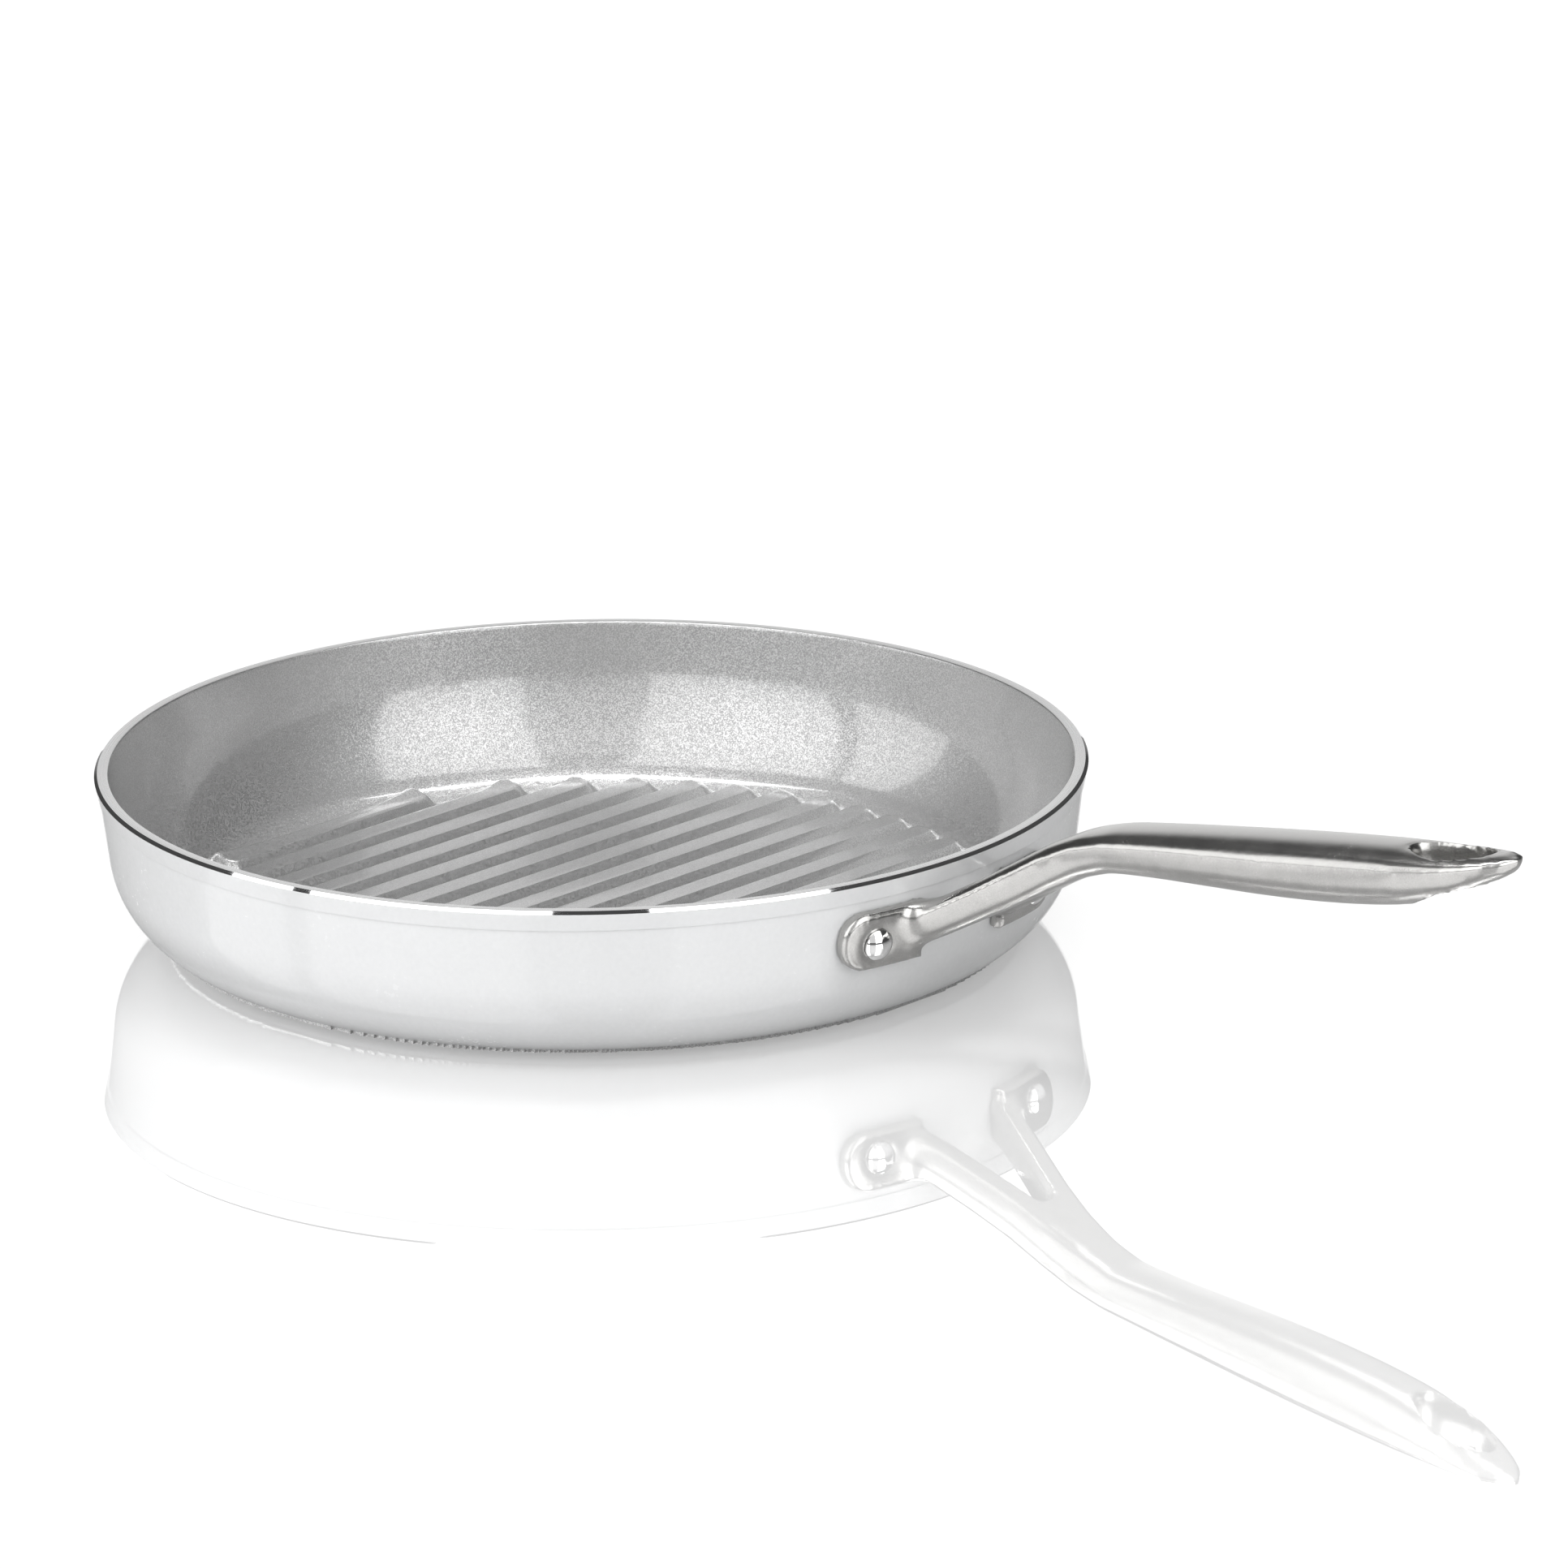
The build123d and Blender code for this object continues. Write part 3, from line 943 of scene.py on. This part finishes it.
@dataclass
class CastHandle:
    """The handle, its CAD form softened as a casting is by polishing.

    Attributes:
        name: CAD node that it stands for.
        weld: Distance in metres within which the loose triangles' corners are merged.
        grid: Size in metres of the even net laid over the form.
        passes: Rounds of smoothing.
        strokes: Smoothing steps in each round.
        most: How far in metres a point may move from the CAD form.
        factor: Share of the way to its neighbours' middle that a point moves in a step.
    """

    name: str = "handle"
    weld: float = 0.00001
    grid: float = 0.0007
    passes: int = 6
    strokes: int = 10
    most: float = 0.0004
    factor: float = 0.5

    def even_net(self) -> bmesh.types.BMesh:
        """Lays an even net over a merged copy of the node's mesh.

        Returns:
            The net, in metres.
        """
        mesh = bmesh.new()
        mesh.from_mesh(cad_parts[self.name].data)
        bmesh.ops.remove_doubles(mesh, verts=mesh.verts, dist=self.weld)
        rough = new_object(mesh, "handle_form", [])
        net = rough.modifiers.new("net", "REMESH")
        net.mode = "VOXEL"
        net.voxel_size = self.grid
        data = bpy.data.meshes.new_from_object(rough.evaluated_get(bpy.context.evaluated_depsgraph_get()))
        bpy.data.objects.remove(rough)
        mesh = bmesh.new()
        mesh.from_mesh(data)
        return mesh

    def soften(self, mesh: bmesh.types.BMesh) -> None:
        """Smooths the net, each point held near its start.

        Args:
            mesh: The net.
        """
        starts = [vertex.co.copy() for vertex in mesh.verts]
        for _ in range(self.passes):
            for _ in range(self.strokes):
                bmesh.ops.smooth_vert(
                    mesh,
                    verts=mesh.verts,
                    factor=self.factor,
                    use_axis_x=True,
                    use_axis_y=True,
                    use_axis_z=True,
                )
            for vertex, start in zip(mesh.verts, starts):
                moved = vertex.co - start
                if moved.length > self.most:
                    vertex.co = start + moved.normalized() * self.most

    def build(self, materials: Materials) -> bpy.types.Object:
        """Makes the softened handle.

        Args:
            materials: Finishes of the pan.

        Returns:
            The piece.
        """
        mesh = self.even_net()
        self.soften(mesh)
        bmesh.ops.scale(mesh, vec=(1 / MM, 1 / MM, 1 / MM), verts=mesh.verts)
        return finish_piece(mesh, "handle_cast", self.name, [materials.cast_steel])


def dress_node(name: str, material: bpy.types.Material) -> None:
    """Gives a CAD node its material.

    Args:
        name: Name of the node.
        material: The material for all its slots.
    """
    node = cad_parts[name]
    if not node.material_slots:
        node.data.materials.append(material)
    for slot in node.material_slots:
        slot.material = material
    log.info("%s: CAD node dressed", name)


@dataclass
class PhotoCamera:
    """Camera at the photograph's angle.

    Attributes:
        azimuth: Turn of the view from the handle's axis, in degrees.
        pitch: Angle below the horizon.
        roll: Roll of the picture.
        distance: Distance along the view, in metres.
        right: Offset to the right.
        up: Offset upwards.
        lens: Focal length on a 36 mm sensor.
        rim_height: Height of the point that the offsets are measured from.
        reach: Distance past which nothing is drawn.
    """

    azimuth: float = 42.6
    pitch: float = 17.29
    roll: float = -0.825
    distance: float = 3.436
    right: float = 0.05424
    up: float = -0.00694
    lens: float = 280.1
    rim_height: float = 0.0485
    reach: float = 100.0

    def axes(self) -> Matrix:
        """Works out the camera's right, up and back directions.

        Returns:
            The rotation with those as its columns.
        """
        turn = Matrix.Rotation(math.radians(self.azimuth), 4, "Z")
        tilt = Matrix.Rotation(math.radians(QUARTER_TURN - self.pitch), 4, "X")
        roll = Matrix.Rotation(math.radians(self.roll), 4, "Z")
        return turn @ tilt @ roll

    def build(self) -> bpy.types.Object:
        """Makes the camera and the scene's own.

        Returns:
            The camera.
        """
        data = bpy.data.cameras.new("photo_camera")
        data.lens = self.lens
        data.clip_end = self.reach
        camera = bpy.data.objects.new("photo_camera", data)
        axes = self.axes()
        offset = axes @ Vector((self.right, self.up, self.distance))
        camera.matrix_world = Matrix.Translation(offset + Vector((0, 0, self.rim_height))) @ axes
        bpy.context.scene.collection.objects.link(camera)
        bpy.context.scene.camera = camera
        return camera


@dataclass
class Studio:
    """Floor, backdrop and soft banks of light round the pan.

    Attributes:
        azimuth: Turn of the whole set, that of the camera, in degrees.
        floor_size: Half the floor's width in metres.
        floor_tone: Grey of the floor.
        floor_gap: Distance in metres from the floor up to the pan.
        floor_glow: Light that the camera and metal see on the floor, which makes it white.
        mirrored_share: Share of that light that metal sees.
        glow_range: Distances from the pan's axis between which that light grows to white.
        gloss_index: Index of refraction of the floor's clear surface.
        left_power: Strength of the light bank on the left.
        right_power: Strength of the light bank on the right.
        top_power: Strength of the light overhead.
        front_power: Strength of the card over the camera.
        side_power: Strength of the white card at the left.
        back_power: Strength of the backdrop card.
        back_fade: Heights in metres between which the backdrop fades out.
        sky: Grey of the room's fill light.
        reach: Distance of the banks from the pan.
    """

    azimuth: float = 42.6
    floor_size: float = 12.0
    floor_tone: float = 0.5
    floor_gap: float = 0.0002
    floor_glow: float = 0.46
    mirrored_share: float = 0.45
    glow_range: tuple[float, float] = (0.4, 1.3)
    gloss_index: float = 2.6
    left_power: float = 2.4
    right_power: float = 2.65
    top_power: float = 11.0
    front_power: float = 0.7
    side_power: float = 2.1
    back_power: float = 1.0
    back_fade: tuple[float, float] = (0.62, 1.0)
    sky: float = 0.06
    reach: float = 1.8

    def towards(self, side: float, rise: float) -> Vector:
        """Point of a light bank.

        Args:
            side: Angle to the right of the camera, in degrees.
            rise: Angle above the horizon.

        Returns:
            The point, at the banks' distance from the pan.
        """
        turn, lift = math.radians(self.azimuth + side - QUARTER_TURN), math.radians(rise)
        flat = math.cos(lift)
        return Vector((math.cos(turn) * flat, math.sin(turn) * flat, math.sin(lift))) * self.reach

    def bank(
        self,
        name: str,
        corners: tuple[tuple[float, float], ...],
        strength: float,
        fade: tuple[float, float] = (9, 10),
    ) -> bpy.types.Object:
        """Hangs one flat bank of light.

        Args:
            name: Name of the bank.
            corners: Its four corners, each an angle to the right and a rise.
            strength: Strength of the light.
            fade: Heights in metres between which the light fades out, by default far above the bank.

        Returns:
            The bank.
        """
        mesh = bmesh.new()
        for corner in corners:
            mesh.verts.new(self.towards(*corner))
        bmesh.ops.contextual_create(mesh, geom=mesh.verts)
        material = bpy.data.materials.new(name)
        material.use_nodes = True
        nodes = Nodes(material.node_tree)
        light = nodes.add("Emission")
        height = nodes.add("SeparateXYZ")
        nodes.feed(height.inputs[0], nodes.add("TexCoord").outputs["Object"])
        nodes.feed(light.inputs["Strength"], nodes.ranged(height.outputs["Z"], *fade, strength, 0))
        nodes.feed(material.node_tree.nodes["Material Output"].inputs["Surface"], light.outputs[0])
        bank = new_object(mesh, name, [material])
        bank.visible_camera = False
        return bank

    def floor(self) -> bpy.types.Object:
        """Lays the pale, faintly glossy floor.

        Returns:
            The floor.
        """
        mesh = bmesh.new()
        bmesh.ops.create_grid(mesh, x_segments=1, y_segments=1, size=self.floor_size)
        bmesh.ops.translate(mesh, vec=(0, 0, -self.floor_gap), verts=mesh.verts)
        material = bpy.data.materials.new("pale_floor")
        material.use_nodes = True
        nodes = Nodes(material.node_tree)
        shader = material.node_tree.nodes["Principled BSDF"]
        shader.inputs["Base Color"].default_value = (*[self.floor_tone] * 3, 1)
        shader.inputs["Roughness"].default_value = 0.0
        shader.inputs["IOR"].default_value = self.gloss_index
        shader.inputs["Coat Weight"].default_value = 1.0
        shader.inputs["Coat Roughness"].default_value = 0.0
        shader.inputs["Coat IOR"].default_value = self.gloss_index
        away = nodes.add("VectorMath", operation="LENGTH")
        nodes.feed(away.inputs[0], nodes.add("TexCoord").outputs["Object"])
        glow = nodes.ranged(away.outputs["Value"], *self.glow_range, self.floor_glow, 1.0)
        path = nodes.add("LightPath").outputs
        mirrored = nodes.math("MULTIPLY", path["Is Glossy Ray"], self.mirrored_share)
        seen = nodes.math("MAXIMUM", path["Is Camera Ray"], mirrored)
        nodes.feed(shader.inputs["Emission Strength"], nodes.math("MULTIPLY", seen, glow))
        shader.inputs["Emission Color"].default_value = (1, 1, 1, 1)
        floor = new_object(mesh, "floor", [material])
        return floor

    def room(self) -> None:
        """Sets the world: white to the camera, grey to everything else."""
        world = bpy.data.worlds.new("room")
        bpy.context.scene.world = world
        world.use_nodes = True
        nodes = Nodes(world.node_tree)
        background = world.node_tree.nodes["Background"]
        seen = nodes.add("LightPath").outputs["Is Camera Ray"]
        nodes.feed(background.inputs["Color"], nodes.blend(seen, (*[self.sky] * 3, 1), (1, 1, 1, 1)))

    def build(self) -> None:
        """Builds the floor, the room, the banks and the backdrop."""
        self.room()
        self.floor()
        self.bank("left_bank", LEFT_BANK, self.left_power)
        self.bank("right_bank", RIGHT_BANK, self.right_power)
        self.bank("top_bank", TOP_BANK, self.top_power)
        self.bank("left_card", LEFT_CARD, self.side_power)
        self.bank("front_card", FRONT_CARD, self.front_power)
        self.bank("backdrop", BACKDROP, self.back_power, self.back_fade)


def main() -> None:
    """Builds the pan's pieces, dresses the CAD nodes and sets the studio."""
    materials = Materials()
    shell = PanShell()
    shell.build(materials)
    RibbedFloor().build(shell, materials)
    for rivet in (Rivet("rivet_left", 1), Rivet("rivet_right", -1)):
        rivet.build(shell, materials)
    CastHandle().build(materials)
    dress_node("induction_plate", materials.base_steel)
    PhotoCamera().build()
    Studio().build()
    bpy.context.scene.view_settings.view_transform = "Standard"


if __name__ == "__main__":
    logging.basicConfig(level=logging.INFO, format="%(name)s %(message)s")
    main()
